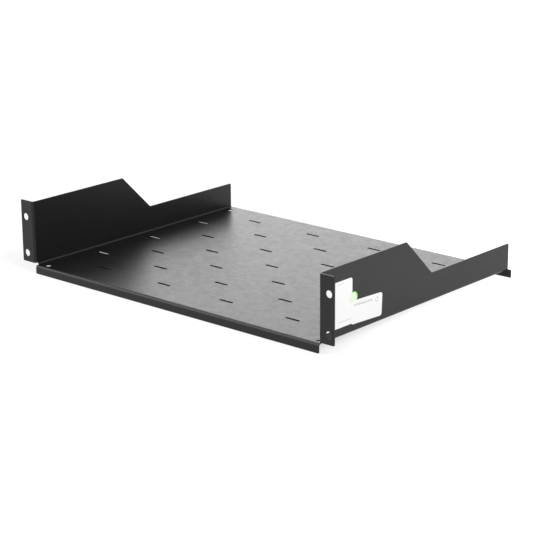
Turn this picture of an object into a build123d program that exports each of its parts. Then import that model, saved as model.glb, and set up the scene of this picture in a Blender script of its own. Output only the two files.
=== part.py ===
from build123d import *
import os

# A rack shelf two units high, folded from one sheet of steel and powder coated, with two paper labels and a
# round sticker on its right side. Millimetres. The origin lies midway along the width and the depth, level
# with the foot of the lips. +X is to the right of a person facing the ears, +Y runs from the ears to the
# rear, and +Z is up.

# The rack that the shelf fits
rack_width = 480.0  # over both ears
ear_hole_from_end = 7.45  # leaves the 465.1 from hole to hole across the rack
ear_hole_pitch = 44.45  # from hole to hole up the rack, one rack unit

# The sheet and its folds
sheet = 1.2
fold_radius = 2.0  # on the inside of every fold

# The deck and its sides
ear_reach = 19.7  # from each side's outer face to the end of its ear, which leaves 440.6 over the sides
depth = 349.0  # from the front of the ears to the back of the rear lip
deck_height = 10.7  # from the foot of the lips to the top of the deck
side_height = 88.1  # of the high front part of each side
side_rear_height = 42.7
side_high_run = 147.6  # from the front of the ears to the top of the slope
side_slope_run = 46.6  # along the depth, from the top of the slope to its foot
side_peak_radius = 2.5
side_valley_radius = 4.0
side_corner_radius = 1.5
rear_slit = 1.0  # between the side's rear edge and the rear lip's fold
front_relief = 1.2  # from the front lip's fold to where the side's fold begins

# The lips under the deck's front and rear edges
front_lip_set_back = 0.4  # from the front of the ears to the front of the lip
lip_past_fold = 1.6  # how far the lips reach past the start of a side's fold
rear_lip_reach = 2.2  # how far the rear lip stands out past the right side
front_lip_corner = 1.6  # radius that brings the front lip's ends in to the deck's corners
rear_lip_corner = 2.0
lip_foot_radius = 1.2

# The ears
ear_hole_diameter = 8.5
ear_hole_mid_height = 45.6  # of the point midway between the upper and the lower hole
ear_corner_radius = 1.5

# The slots for cable ties, in rows that are staggered by half a pitch
slot_length = 20.0
slot_width = 3.8
slot_pitch_across = 97.2
slot_pitch_back = 44.3  # from one row to the next
slot_rows = 7
slots_in_front_row = 4
slot_field_middle = 176.8  # from the front of the ears to the middle row

# The four round holes in the deck's corners
deck_hole_diameter = 7.0
deck_hole_from_right = 7.3  # from the right side's outer face
front_hole_from_left = 14.9
rear_hole_from_left = 11.8
deck_hole_from_front = 8.4
deck_hole_from_rear = 17.1

# The labels and the sticker on the right side, placed from the front of the ears and the foot of the lips
paper = 0.1
tall_label_front = 7.8
tall_label_width = 45.9
tall_label_foot = 19.9
tall_label_height = 51.2
wide_label_length = 52.4
wide_label_height = 26.2
wide_label_foot = 17.4  # at the middle of its length
wide_label_tilt = 2.6  # degrees, with its rear end lower
label_overlap = 1.5  # how far the wide label lies over the tall one
label_corner_radius = 3.0
label_ramp = 1.0  # length over which the wide label comes down off the edge of the tall one
sticker_diameter = 12.3
sticker_past_label = 2.3  # from the tall label's rear edge to the sticker's middle
sticker_above_label = 4.95  # from the wide label's top to the sticker's middle

# Places worked out from the sizes above
outer_radius = fold_radius + sheet
front = -depth / 2
rear = depth / 2
ear_end = rack_width / 2
side_face = ear_end - ear_reach  # outer face of the right side
fold_start = side_face - outer_radius  # where the deck's flat ends and the side's fold begins
fold_end_height = deck_height + fold_radius  # where the side's fold ends and its flat begins
lip_end = fold_start + lip_past_fold  # where both lips end, except the rear one at the right
lip_front = front + front_lip_set_back
deck_front = lip_front + outer_radius  # where the front lip's fold ends and the deck's flat begins
deck_rear = rear - outer_radius
side_front = deck_front + front_relief
side_rear = deck_rear - rear_slit
through = 4 * outer_radius  # long enough to cut through any one fold or face of the sheet


def strip(points, radius):
    """The cross-section of a folded strip: points run along one face, and the sheet lies to their left."""
    path = FilletPolyline(*points, radius=radius)
    return make_face(offset(path, amount=sheet, side=Side.LEFT))


def side_outline():
    """The shape of both sides seen from the right, reaching down through the deck."""
    slope_top = front + side_high_run
    slope_foot = slope_top + side_slope_run
    outline = Polyline(
        (side_front, 0),
        (side_rear, 0),
        (side_rear, side_rear_height),
        (slope_foot, side_rear_height),
        (slope_top, side_height),
        (side_front, side_height),
        close=True,
    )
    rounded = {
        (side_rear, side_rear_height): side_corner_radius,
        (slope_foot, side_rear_height): side_valley_radius,
        (slope_top, side_height): side_peak_radius,
    }
    face = make_face(outline)
    for corner, radius in rounded.items():
        face = fillet(face.vertices().sort_by_distance(corner)[0], radius)
    return face


def tray():
    """The deck's width folded up at the left and the right, and cut to the outline of the sides."""
    under = deck_height - sheet
    section = strip(
        [(-side_face, side_height), (-side_face, under), (side_face, under), (side_face, side_height)],
        outer_radius,
    )
    folded = extrude(Plane.XZ.offset(-side_rear) * section, amount=side_rear - side_front)
    return folded & extrude(Plane.YZ * side_outline(), amount=side_face, both=True)


def deck():
    """The flat of the deck, between its four folds."""
    flat = Rectangle(2 * fold_start, deck_rear - deck_front, align=(Align.CENTER, Align.MIN))
    return extrude(Pos(0, deck_front, deck_height) * flat, amount=-sheet)


def lip(edge, inward, right_end, top_radius):
    """The lip and its fold at y = edge, up to x = right_end. Inward is 1 or -1, towards the deck.

    The folded strip is made too long, and the cut to the lip's rounded outline shortens it at both ends.
    """
    points = [(edge, 0), (edge, deck_height), (edge + 2 * inward * outer_radius, deck_height)]
    section = strip(points[::-inward], outer_radius)
    folded = extrude(Plane.YZ * section, amount=rack_width, both=True)
    length = lip_end + right_end
    face = Pos(-lip_end, 0) * Rectangle(length, deck_height, align=(Align.MIN, Align.MIN))
    face = fillet(face.vertices().group_by(Axis.Y)[-1], top_radius)
    face = fillet(face.vertices().group_by(Axis.Y)[0], lip_foot_radius)
    fold_end = edge + inward * outer_radius
    return folded & extrude(Plane.XZ.offset(-fold_end) * face, amount=2 * inward * outer_radius)


def ear():
    """The right ear, folded outward from the front of the side, with its two holes."""
    back = front + sheet
    points = [(side_face, side_front), (side_face, back), (ear_end, back)]
    section = strip(points[::-1], fold_radius)
    folded = extrude(Plane.XY.offset(fold_end_height) * section, amount=side_height - fold_end_height)
    corners = folded.edges().filter_by(Axis.Y).group_by(Axis.X)[-1]
    folded = fillet(corners, ear_corner_radius)
    for step in (-0.5, 0.5):
        height = ear_hole_mid_height + step * ear_hole_pitch
        hole = Cylinder(ear_hole_diameter / 2, through, rotation=(90, 0, 0))
        folded -= Pos(ear_end - ear_hole_from_end, front, height) * hole
    return folded


def slots():
    """The staggered rows of slots, as the tool that punches them."""
    slot = extrude(SlotOverall(slot_length, slot_width), amount=through, both=True)
    main_rows = (slot_rows + 1) // 2
    rows_between = slot_rows - main_rows
    middle = Pos(0, front + slot_field_middle, deck_height)
    main = GridLocations(slot_pitch_across, 2 * slot_pitch_back, slots_in_front_row, main_rows)
    between = GridLocations(slot_pitch_across, 2 * slot_pitch_back, slots_in_front_row + 1, rows_between)
    return [middle * place * slot for place in [*main, *between]]


def deck_holes():
    """The four round holes near the deck's corners."""
    hole = Cylinder(deck_hole_diameter / 2, through)
    front_row = front + deck_hole_from_front
    rear_row = rear - deck_hole_from_rear
    right = side_face - deck_hole_from_right
    centres = [
        (front_hole_from_left - side_face, front_row),
        (rear_hole_from_left - side_face, rear_row),
        (right, front_row),
        (right, rear_row),
    ]
    return [Pos(x, y, deck_height) * hole for x, y in centres]


def shelf():
    """The whole folded sheet."""
    front_lip = lip(lip_front, 1, lip_end, front_lip_corner)
    rear_lip = lip(rear, -1, side_face + rear_lip_reach, rear_lip_corner)
    right_ear = ear()
    folded = deck() + tray() + front_lip + rear_lip + right_ear + mirror(right_ear, Plane.YZ)
    return folded - slots() - deck_holes()


def on_side(face, height=0.0, thickness=paper):
    """Raises a shape drawn as (depth, height) into a piece of paper on the right side's outer face."""
    return extrude(Plane.YZ.offset(side_face + height) * face, amount=thickness)


def tall_label():
    """The upright label just behind the ear."""
    face = RectangleRounded(
        tall_label_width, tall_label_height, label_corner_radius, align=(Align.MIN, Align.MIN)
    )
    return on_side(Pos(front + tall_label_front, tall_label_foot) * face)


def wide_label():
    """The lying label, whose front end rides up over the edge of the tall one."""
    edge = front + tall_label_front + tall_label_width
    start = edge - label_overlap
    middle = Pos(start + wide_label_length / 2, wide_label_foot + wide_label_height / 2)
    outline = RectangleRounded(wide_label_length, wide_label_height, label_corner_radius)
    before = start - wide_label_height
    beyond = start + wide_label_length + wide_label_height
    level = side_face + paper
    section = Polyline(
        (side_face, edge),
        (side_face, beyond),
        (level, beyond),
        (level, edge + label_ramp),
        (level + paper, edge),
        (level + paper, before),
        (level, before),
        (level, edge),
        close=True,
    )
    upright = extrude(make_face(section), amount=side_height)
    return upright & on_side(middle * Rot(0, 0, -wide_label_tilt) * outline, thickness=3 * paper)


def round_sticker():
    """The round sticker over the corner where the two labels meet."""
    across = front + tall_label_front + tall_label_width + sticker_past_label
    up = wide_label_foot + wide_label_height + sticker_above_label
    return on_side(Pos(across, up) * Circle(sticker_diameter / 2), height=2 * paper)


os.makedirs("parts", exist_ok=True)
export_step(shelf(), "parts/shelf.step")
export_step(tall_label(), "parts/tall_label.step")
export_step(wide_label(), "parts/wide_label.step")
export_step(round_sticker(), "parts/round_sticker.step")
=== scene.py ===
# %% [markdown]
# A rack shelf in satin black powder coat
#
# The object is a low shelf for a 19-inch equipment rack. It is folded from one sheet of steel, so the
# construction file already holds its whole form: the slotted deck, the lips under its front and rear edges,
# the two stepped sides and the screw ears. This script adds what the eye needs besides form. It gives the
# powder coat its satin gloss and fine grain, softens the cut edges of the sheet as paint does, finishes the
# paper labels on the right side, and sets up a plain studio to look at it all.

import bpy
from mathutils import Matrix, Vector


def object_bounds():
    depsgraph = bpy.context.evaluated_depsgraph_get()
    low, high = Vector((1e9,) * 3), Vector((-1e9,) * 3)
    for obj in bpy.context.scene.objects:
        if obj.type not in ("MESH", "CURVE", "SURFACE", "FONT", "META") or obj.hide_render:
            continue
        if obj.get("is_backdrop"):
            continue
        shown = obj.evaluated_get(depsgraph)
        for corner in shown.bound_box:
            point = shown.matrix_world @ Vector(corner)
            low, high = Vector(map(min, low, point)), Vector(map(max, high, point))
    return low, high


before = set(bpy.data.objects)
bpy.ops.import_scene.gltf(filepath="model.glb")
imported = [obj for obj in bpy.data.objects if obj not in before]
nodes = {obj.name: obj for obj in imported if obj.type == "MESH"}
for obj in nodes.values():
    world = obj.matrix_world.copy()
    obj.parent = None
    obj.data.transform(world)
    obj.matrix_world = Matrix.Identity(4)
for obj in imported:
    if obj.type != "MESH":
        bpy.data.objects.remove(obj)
cad_low, cad_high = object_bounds()
print("nodes:", sorted(nodes))

# %% Units and tools
import math

import bpy
from mathutils import Matrix, Vector

MM = 0.001
box_mm = [round((high - low) / MM, 1) for low, high in zip(cad_low, cad_high)]
print("box in mm:", box_mm)

# %% [markdown]
# The camera
#
# A photograph fixes the camera's place and direction, if some sizes of the object are known. Here the spacing
# of the ear holes comes from the rack standard, and the place, turn, dip, roll and focal length below were
# fitted so that about forty-five corners, slots and edges of the model fall on their pixels. The focal length
# came out in pixels, and the sensor's width turns it into millimetres. A long lens from a little over two
# metres away is what product photographers use too, because it keeps the far end of the shelf from looking
# small.

# %% Camera values
IMAGE_SIDE = 533
SENSOR_WIDTH = 36.0
FOCAL_PIXELS = 1816.64
CAMERA_PLACE = Vector((1.356715, -1.540934, 0.639173))
CAMERA_TURN = math.radians(41.5016)
CAMERA_DIP = math.radians(17.0127)
CAMERA_ROLL = math.radians(0.4307)
print("distance in m:", round(CAMERA_PLACE.length, 2))


# %% Camera axes
def camera_axes(turn, dip, roll):
    """The camera's own X, Y and Z as columns: turned left of +Y, dipped below the horizon, then rolled."""
    forward = Vector((-math.sin(turn) * math.cos(dip), math.cos(turn) * math.cos(dip), -math.sin(dip)))
    level_right = Vector((math.cos(turn), math.sin(turn), 0))
    level_down = forward.cross(level_right)
    right = math.cos(roll) * level_right + math.sin(roll) * level_down
    down = math.cos(roll) * level_down - math.sin(roll) * level_right
    return Matrix((right, -down, -forward)).transposed()


axes = camera_axes(CAMERA_TURN, CAMERA_DIP, CAMERA_ROLL)
print("looks along:", [round(value, 3) for value in -axes.col[2]])

# %% Place the camera
camera_data = bpy.data.cameras.new("camera")
camera_data.sensor_width = SENSOR_WIDTH
camera_data.lens = FOCAL_PIXELS * SENSOR_WIDTH / IMAGE_SIDE
camera = bpy.data.objects.new("camera", camera_data)
camera.matrix_world = Matrix.LocRotScale(CAMERA_PLACE, axes.to_quaternion(), None)
bpy.context.scene.collection.objects.link(camera)
bpy.context.scene.camera = camera
print("lens in mm:", round(camera_data.lens, 2))

# %% [markdown]
# Helpers for materials
#
# Each finish below is a small graph of nodes. A few helpers keep those graphs short: two feed and add nodes,
# one starts a material with its shader, one makes a noise pattern, and the others do sums, stretch values and
# mix colours. Every pattern is placed by the object's own coordinates and measured in millimetres, so that
# grain has the size it has on the real thing and stays put from every side.


# %% Node helpers
def feed(tree, node, values):
    """Links or sets inputs of a node, where values are pairs of an input and a socket or a plain value."""
    for socket, value in values:
        if isinstance(value, bpy.types.NodeSocket):
            tree.links.new(value, node.inputs[socket])
        else:
            node.inputs[socket].default_value = value


def add_node(tree, kind, values=(), **settings):
    """A node of that kind, with settings as its properties and values for its inputs."""
    node = tree.nodes.new(kind)
    for name, value in settings.items():
        setattr(node, name, value)
    feed(tree, node, values)
    return node


print("node helpers: ready")


# %% Material helper
def start_material(name):
    """A new material with its tree, its shader and the place on the object."""
    material = bpy.data.materials.new(name)
    material.use_nodes = True
    tree = material.node_tree
    tree.nodes.clear()
    shader = add_node(tree, "ShaderNodeBsdfPrincipled")
    add_node(tree, "ShaderNodeOutputMaterial", [("Surface", shader.outputs["BSDF"])])
    place = add_node(tree, "ShaderNodeTexCoord").outputs["Object"]
    return material, tree, shader, place


print("material helper: ready")


# %% Pattern helpers
def noise(tree, place, size_mm, detail, roughness=0.5):
    """A noise pattern whose lumps are about size_mm across, as a value from 0 to 1.

    Detail counts the finer layers on top of those lumps, and roughness says how strongly they show.
    """
    values = [("Vector", place), ("Scale", 1 / (size_mm * MM)), ("Detail", detail), ("Roughness", roughness)]
    return add_node(tree, "ShaderNodeTexNoise", values).outputs["Fac"]


def remap(tree, value, low, high, start=0.3, end=0.7):
    """Stretches start..end of a value to low..high."""
    values = [("Value", value), ("From Min", start), ("From Max", end), ("To Min", low), ("To Max", high)]
    return add_node(tree, "ShaderNodeMapRange", values).outputs["Result"]


def sums(tree, operation, *values):
    """One step of arithmetic on values or sockets."""
    return add_node(tree, "ShaderNodeMath", list(enumerate(values)), operation=operation).outputs[0]


print("a grain of 1 mm has a noise scale of", round(1 / MM))

# %% Colour helper
MIX_FIRST, MIX_SECOND, MIX_RESULT = 6, 7, 2  # the Mix node has an A and a B for each kind of value


def blend(tree, amount, first, second):
    """The colour first where amount is 0 and second where it is 1."""
    values = [("Factor", amount), (MIX_FIRST, first), (MIX_SECOND, second)]
    return add_node(tree, "ShaderNodeMix", values, data_type="RGBA").outputs[MIX_RESULT]


print("colour sockets:", MIX_FIRST, MIX_SECOND, MIX_RESULT)


def finish(node, material):
    """Puts the material on a node of the construction file."""
    nodes[node].material_slots[0].material = material
    print(node, "gets", material.name)


# %% [markdown]
# Powder coat
#
# The real coat is a polyester powder that was sprayed on dry and baked until it flowed. It is nearly black,
# and what one sees of it is its sheen: strong where the eye looks along the sheet, as over the deck, and weak
# where it looks straight on, as at the ears. A clear coat over a dark base would add a second, sharper gloss
# that powder doesn't have. One layer of satin plastic on the Principled shader has the right sheen by itself,
# so the colour stays almost black and the light does the rest. No baked coat is quite even, so a noise
# pattern, the drift, lets gloss and colour change a little from spot to spot.

# %% Coat values
COAT_DARK = (0.0014, 0.0014, 0.0017, 1.0)
COAT_LIGHT = (0.0026, 0.0026, 0.0030, 1.0)
COAT_ROUGHNESS = (0.32, 0.42)
COAT_IOR = 1.40
DRIFT_SIZE = 7.0
DRIFT_DETAIL = 3.0
DRIFT_ROUGHNESS = 0.8
print("coat roughness from", COAT_ROUGHNESS[0], "to", COAT_ROUGHNESS[1])

# %% [markdown]
# Grain and edges of the coat
#
# Baked powder sets to an orange peel a few millimetres across and some hundredths of a millimetre deep. A
# much longer, flatter wave stands for the sheet itself, which is never perfectly flat between its folds. Both
# are bump patterns, which bend the light without moving the surface. The punched edges of the sheet are sharp
# in the construction file. A coat pulls itself round over such an edge, and the Bevel node gives the same
# thin line of light without a change to the mesh.

# %% Grain values
GRAIN_SIZE = 3.0
GRAIN_HEIGHT = 0.06 * MM
GRAIN_DETAIL = 3.0
GRAIN_ROUGHNESS = 0.6
WAVE_SIZE = 120.0
WAVE_HEIGHT = 0.008 * MM
WAVE_DETAIL = 1.0
EDGE_SOFTENING = 0.15 * MM
print("grain in mm: %.1f across, %.2f high" % (GRAIN_SIZE, GRAIN_HEIGHT / MM))


# %% Relief of the coat
def coat_relief(tree, place):
    """The normal of the coat: softened edges, then the sheet's wave, then the grain."""
    normal = add_node(tree, "ShaderNodeBevel", [("Radius", EDGE_SOFTENING)]).outputs["Normal"]
    wave = noise(tree, place, WAVE_SIZE, WAVE_DETAIL)
    grain = noise(tree, place, GRAIN_SIZE, GRAIN_DETAIL, GRAIN_ROUGHNESS)
    for pattern, height in ((wave, WAVE_HEIGHT), (grain, GRAIN_HEIGHT)):
        values = [("Height", pattern), ("Distance", height), ("Normal", normal)]
        normal = add_node(tree, "ShaderNodeBump", values).outputs["Normal"]
    return normal


# %% The coat
def powder_coat():
    material, tree, shader, place = start_material("satin_black_powder_coat")
    drift = noise(tree, place, DRIFT_SIZE, DRIFT_DETAIL, DRIFT_ROUGHNESS)
    values = [
        ("Base Color", blend(tree, drift, COAT_DARK, COAT_LIGHT)),
        ("Roughness", remap(tree, drift, *COAT_ROUGHNESS)),
        ("IOR", COAT_IOR),
        ("Normal", coat_relief(tree, place)),
    ]
    feed(tree, shader, values)
    return material


finish("shelf", powder_coat())

# %% [markdown]
# Label paper
#
# Two white adhesive labels sit on the right side, one overlapping the other. Their paper has a fine fibre
# that breaks up its slight shine. What makes them read as labels is a rhythm of small pale print, so they
# carry rows of short grey bars and a small ring. An image could hold such marks, but marks that are worked
# out from the place on the label stay sharp from near and need no unwrapping: a long strip is cut out of the
# surface, and a repeating ramp cuts the strip into dashes.

# %% Label values
PAPER_COLOUR = (0.93, 0.93, 0.925, 1.0)
PRINT_COLOUR = (0.55, 0.55, 0.55, 1.0)
PAPER_ROUGHNESS = (0.45, 0.60)
FIBRE_SIZE = 0.7
FIBRE_DETAIL = 4.0
FIBRE_HEIGHT = 0.004 * MM
print("paper reflects", PAPER_COLOUR[0], "and its print", PRINT_COLOUR[0])


# %% Places on a label
def on_label(tree, place, middle, tilt=0.0):
    """Distances in mm along and up the label from a point of it, where tilt turns them with the label."""
    turned = add_node(tree, "ShaderNodeMapping", [("Vector", place), ("Rotation", (tilt, 0, 0))])
    parts = add_node(tree, "ShaderNodeSeparateXYZ", [("Vector", turned.outputs[0])])
    cosine, sine = math.cos(tilt), math.sin(tilt)
    start = (middle[0] * cosine - middle[1] * sine, middle[0] * sine + middle[1] * cosine)
    along = sums(tree, "SUBTRACT", sums(tree, "DIVIDE", parts.outputs["Y"], MM), start[0])
    up = sums(tree, "SUBTRACT", sums(tree, "DIVIDE", parts.outputs["Z"], MM), start[1])
    return along, up


def hypot(tree, first, second):
    """The distance of a point from the origin, given by its two coordinates."""
    squares = [sums(tree, "MULTIPLY", side, side) for side in (first, second)]
    return sums(tree, "SQRT", sums(tree, "ADD", *squares))


print("places are counted in steps of", MM, "m")

# %% Print helpers
INK_EDGE = 0.15
DASH_END = (0.55, 0.75)


def within(tree, value, half):
    """1 where a value lies between -half and half, with a soft edge."""
    return remap(tree, sums(tree, "ABSOLUTE", value), 1.0, 0.0, half - INK_EDGE, half + INK_EDGE)


def bars(tree, place, middle, size, pitch, tilt=0.0):
    """A row of short bars around a middle point, where size is the row's length and height in mm."""
    along, up = on_label(tree, place, middle, tilt)
    step = sums(tree, "FRACT", sums(tree, "DIVIDE", along, pitch))
    dash = remap(tree, step, 1.0, 0.0, *DASH_END)
    strip = sums(tree, "MULTIPLY", within(tree, along, size[0] / 2), within(tree, up, size[1] / 2))
    return sums(tree, "MULTIPLY", strip, dash)


def ring(tree, place, middle, radius, width):
    """A thin ring around a middle point."""
    away = hypot(tree, *on_label(tree, place, middle))
    return within(tree, sums(tree, "SUBTRACT", away, radius), width / 2)


print("a bar fills", DASH_END[0], "of its step")


# %% Paper
def paper(name, amount, first, second):
    """Paper of the first colour, and of the second where amount, a function of the place, gives 1."""
    material, tree, shader, place = start_material(name)
    fibre = noise(tree, place, FIBRE_SIZE, FIBRE_DETAIL)
    bump = add_node(tree, "ShaderNodeBump", [("Height", fibre), ("Distance", FIBRE_HEIGHT)])
    values = [
        ("Base Color", blend(tree, amount(tree, place), first, second)),
        ("Roughness", remap(tree, fibre, *PAPER_ROUGHNESS)),
        ("Normal", bump.outputs["Normal"]),
    ]
    feed(tree, shader, values)
    return material


print("paper roughness from", PAPER_ROUGHNESS[0], "to", PAPER_ROUGHNESS[1])

# %% [markdown]
# Where the print sits
#
# Places on the right side are pairs of millimetres: the distance along the depth, then the height. A row is
# given by its middle, its length and height, and the step from bar to bar. The ring is given by its middle,
# its radius and the width of its line. The wide label was stuck on slightly crooked, so its row is turned
# with it, and the print of the tall label is fainter.

# %% Print of the labels
LABEL_TILT = math.radians(2.6)
WIDE_ROW = ((-101.6, 38.4), (31.0, 2.4), 2.6)
WIDE_RING = ((-78.6, 36.3), 2.4, 0.8)
TALL_HEAD = ((-140.5, 67.5), (10.5, 1.6), 2.1)
TALL_FOOT = ((-133.9, 26.0), (22.0, 1.6), 3.4)
FAINT_PRINT = 0.55


def wide_marks(tree, place):
    row = bars(tree, place, *WIDE_ROW, LABEL_TILT)
    circle = ring(tree, place, *WIDE_RING)
    return sums(tree, "MAXIMUM", row, circle)


def tall_marks(tree, place):
    head = bars(tree, place, *TALL_HEAD)
    foot = bars(tree, place, *TALL_FOOT)
    return sums(tree, "MULTIPLY", sums(tree, "MAXIMUM", head, foot), FAINT_PRINT)


finish("wide_label", paper("wide_label_paper", wide_marks, PAPER_COLOUR, PRINT_COLOUR))
finish("tall_label", paper("tall_label_paper", tall_marks, PAPER_COLOUR, PRINT_COLOUR))

# %% [markdown]
# Green sticker
#
# A round dot of pale green paper sits over the corner where the labels meet. Its colour is stronger in a
# narrow crescent at the upper right, as if the dot had been printed a little off the place where it was cut.
# The crescent is what is left of the disc outside a second circle, which is moved a little down and towards
# the front.

# %% Sticker values
STICKER_COLOUR = (0.78, 0.97, 0.72, 1.0)
STICKER_RIM_COLOUR = (0.34, 0.78, 0.16, 1.0)
STICKER_MIDDLE = (-118.5, 48.55)
STICKER_RADIUS = 6.15
RIM_SHIFT = (1.4, 0.9)
RIM_EDGE = 0.1
print("the crescent is up to", round(math.hypot(*RIM_SHIFT), 1), "mm wide")


# %% Green sticker
def crescent(tree, place):
    """1 in the crescent at the upper right and 0 in the pale part."""
    shifted = [middle - shift for middle, shift in zip(STICKER_MIDDLE, RIM_SHIFT)]
    away = hypot(tree, *on_label(tree, place, shifted))
    return remap(tree, away, 0.0, 1.0, STICKER_RADIUS - RIM_EDGE, STICKER_RADIUS + RIM_EDGE)


finish("round_sticker", paper("pale_green_sticker", crescent, STICKER_COLOUR, STICKER_RIM_COLOUR))

# %% [markdown]
# Floor
#
# Such a shelf is photographed on white paper. The camera looks down on it, so the floor alone fills the
# background, and one large flat sheet is enough. White paper needs a lot of light to come out white, and
# that much light would bleach the shelf. So the paper is given a glow of its own for the rays that see it,
# straight from the camera or by way of a gloss, and only a part of its brightness comes from the lamps. That
# part is what the shelf shades, and it draws the soft shadow. The glow grows towards the back right, a
# painted pool of light as on a paper that is lit from there, and the shelf's right side mirrors just that
# part. Far from the shelf the lamps grow weak, so the glow alone keeps the paper white up to the horizon.
# Under the deck the paper has no glow, which is painted shade, since hardly any light gets there on the real
# one, and so the slots stay dark.

# %% Floor values
FLOOR_HALF = 6.0
FLOOR_COLOUR = 0.38
# the glow's rise from front left to back right is a painted pool of light
GLOW_FRONT_LEFT = 0.60
GLOW_BACK_RIGHT = 1.0
GLOW_FAR = 1.0
GLOW_RAMP = (30.0, 240.0)
FAR_RAMP = (600.0, 1500.0)
# the patch without glow under the deck is painted shade
DARK_MIDDLE = (-0.5, 5.0)
DARK_HALF = (195.0, 160.0)
DARK_EDGE = 8.0
print("the paper glows from", GLOW_FRONT_LEFT, "to", GLOW_BACK_RIGHT)


# %% Rays that see the background
SEEN_RAYS = ("Is Camera Ray", "Is Glossy Ray", "Is Transmission Ray")


def seen_rays(tree):
    """1 for rays from the camera, a gloss or a clear piece, and 0 for the rays that only carry light."""
    path = add_node(tree, "ShaderNodeLightPath")
    camera_ray, glossy_ray, clear_ray = [path.outputs[name] for name in SEEN_RAYS]
    return sums(tree, "MAXIMUM", sums(tree, "MAXIMUM", camera_ray, glossy_ray), clear_ray)


print("the background shows to:", ", ".join(SEEN_RAYS))


# %% Places on the floor
def in_mm(tree, place):
    """The distances across and along the floor from its middle."""
    parts = add_node(tree, "ShaderNodeSeparateXYZ", [("Vector", place)])
    return [sums(tree, "DIVIDE", parts.outputs[axis], MM) for axis in ("X", "Y")]


def under_deck(tree, distances):
    """1 under the deck and 0 around the shelf, with a soft edge: where the glow is left out as painted shade.
    """
    inside = []
    for distance, middle, half in zip(distances, DARK_MIDDLE, DARK_HALF):
        away = sums(tree, "ABSOLUTE", sums(tree, "SUBTRACT", distance, middle))
        inside.append(remap(tree, away, 1.0, 0.0, half - DARK_EDGE / 2, half + DARK_EDGE / 2))
    return sums(tree, "MULTIPLY", *inside)


print("dark in mm:", [(middle - half, middle + half) for middle, half in zip(DARK_MIDDLE, DARK_HALF)])


# %% Glow of the floor
def paper_glow(tree, place):
    """The glow, which grows along the diagonal to the back right as painted light, and far from the shelf."""
    across, along = in_mm(tree, place)
    to_back_right = sums(tree, "MULTIPLY", sums(tree, "ADD", across, along), math.sqrt(0.5))
    # painted pool of light towards the back right
    near = remap(tree, to_back_right, GLOW_FRONT_LEFT, GLOW_BACK_RIGHT, *GLOW_RAMP)
    far = remap(tree, hypot(tree, across, along), GLOW_FRONT_LEFT, GLOW_FAR, *FAR_RAMP)
    # no glow under the deck: painted shade
    open_floor = sums(tree, "SUBTRACT", 1.0, under_deck(tree, (across, along)))
    return sums(tree, "MULTIPLY", sums(tree, "MAXIMUM", near, far), open_floor)


print("the paper glows at", GLOW_FAR, "from", FAR_RAMP[1], "mm on")


# %% Paper of the floor
def grey(level):
    return (level, level, level, 1.0)


def white_paper():
    material, tree, shader, place = start_material("white_paper_floor")
    values = [
        ("Base Color", grey(FLOOR_COLOUR)),
        ("Roughness", 1.0),
        ("Specular IOR Level", 0.0),
        ("Emission Color", grey(1.0)),
        ("Emission Strength", sums(tree, "MULTIPLY", paper_glow(tree, place), seen_rays(tree))),
    ]
    feed(tree, shader, values)
    return material


# %% Floor
floor_mesh = bpy.data.meshes.new("floor")
floor_corners = [(x * FLOOR_HALF, y * FLOOR_HALF, 0) for x, y in ((-1, -1), (1, -1), (1, 1), (-1, 1))]
floor_mesh.from_pydata(floor_corners, [], [(0, 1, 2, 3)])
floor_mesh.materials.append(white_paper())
floor = bpy.data.objects.new("floor", floor_mesh)
bpy.context.scene.collection.objects.link(floor)
floor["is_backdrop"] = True
print("floor:", 2 * FLOOR_HALF, "m square")

# %% [markdown]
# World
#
# The world stands for the white room around the shelf. A picture of a studio could take its place, but a
# plain colour is easier to steer. Rays that see the world find it plain white, and it sends out a weaker,
# even light that fills the shadows.

# %% World
WORLD_FILL = 0.5


def white_room():
    world = bpy.data.worlds.new("white_room")
    bpy.context.scene.world = world
    world.use_nodes = True
    tree = world.node_tree
    tree.nodes.clear()
    strength = remap(tree, seen_rays(tree), WORLD_FILL, 1.0, 0.0, 1.0)
    background = add_node(tree, "ShaderNodeBackground", [("Color", grey(1.0)), ("Strength", strength)])
    add_node(tree, "ShaderNodeOutputWorld", [("Surface", background.outputs[0])])


white_room()
print("fill light:", WORLD_FILL)

# %% [markdown]
# Softboxes
#
# Black paint has next to no colour of its own, so it is lit by what it mirrors. Area lights do the work of
# the studio's softboxes: their place decides which face gets a sheen. They are given by the direction that
# they stand in, as an angle around the shelf and one above the floor in degrees, because that is how a
# reflection is aimed. Each one faces the shelf, and its strength is given as the brightness of its face.

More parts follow.
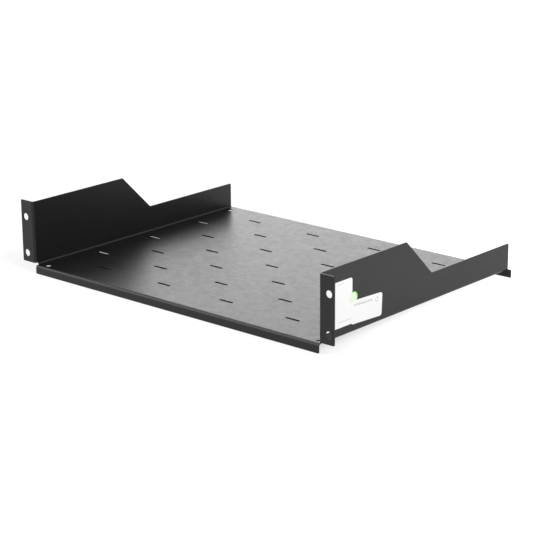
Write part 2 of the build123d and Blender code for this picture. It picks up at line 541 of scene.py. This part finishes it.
# %% Softbox helper
SHELF_MIDDLE = Vector((0, 0, 0.04))
SOFTBOX_DISTANCE = 2.6


def softbox(name, around, above, width, height, brightness):
    """An area light that faces the shelf. Around is counted from +X towards +Y, and sizes are in metres."""
    turn, rise = math.radians(around), math.radians(above)
    direction = Vector((math.cos(turn) * math.cos(rise), math.sin(turn) * math.cos(rise), math.sin(rise)))
    data = bpy.data.lights.new(name, "AREA")
    data.shape = "RECTANGLE"
    data.size = width
    data.size_y = height
    data.energy = brightness * math.pi * width * height
    light = bpy.data.objects.new(name, data)
    light.location = SHELF_MIDDLE + SOFTBOX_DISTANCE * direction
    light.rotation_euler = direction.to_track_quat("Z", "Y").to_euler()
    light.visible_camera = False
    bpy.context.scene.collection.objects.link(light)
    print(name, "gives", round(data.energy, 1), "W")


# %% [markdown]
# Where the softboxes stand
#
# The camera looks along the deck, so the deck mirrors what stands low behind the shelf. The two rear boxes
# give it its broad sheen, which fades towards the front edge. The boxes at the front left draw the thin light
# line along the front fold, and a high one on the left carries that line on to its right end. A large box on
# the right lights the labels.

# %% Softboxes
softbox("low_rear_softbox", 130, 10, 1.4, 0.8, 2.8)
softbox("rear_softbox", 128, 28, 1.6, 0.9, 1.3)
softbox("low_front_softbox", 218, 14, 1.2, 0.9, 3.0)
softbox("front_softbox", 225, 34, 1.2, 1.2, 4.2)
softbox("high_left_softbox", 180, 62, 1.2, 1.2, 2.5)
softbox("right_softbox", 350, 36, 1.6, 1.6, 6.0)

# %% [markdown]
# View transform
#
# Blender's usual view transform rolls off bright light as film does, which would turn the white paper grey.
# The Standard one shows each brightness as it is, so the paper stays white and the coat nearly black.

# %% View transform
bpy.context.scene.view_settings.view_transform = "Standard"
print("view transform:", bpy.context.scene.view_settings.view_transform)

# %% [markdown]
# Sizes
#
# The box is measured again with everything above in place, and both boxes are printed. Nothing above may
# stand out of the construction file's box.

# %% Sizes
low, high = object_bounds()
visual_mm = [round((high_end - low_end) / MM, 1) for low_end, high_end in zip(low, high)]
print("visual box in mm:", visual_mm, "against", box_mm)
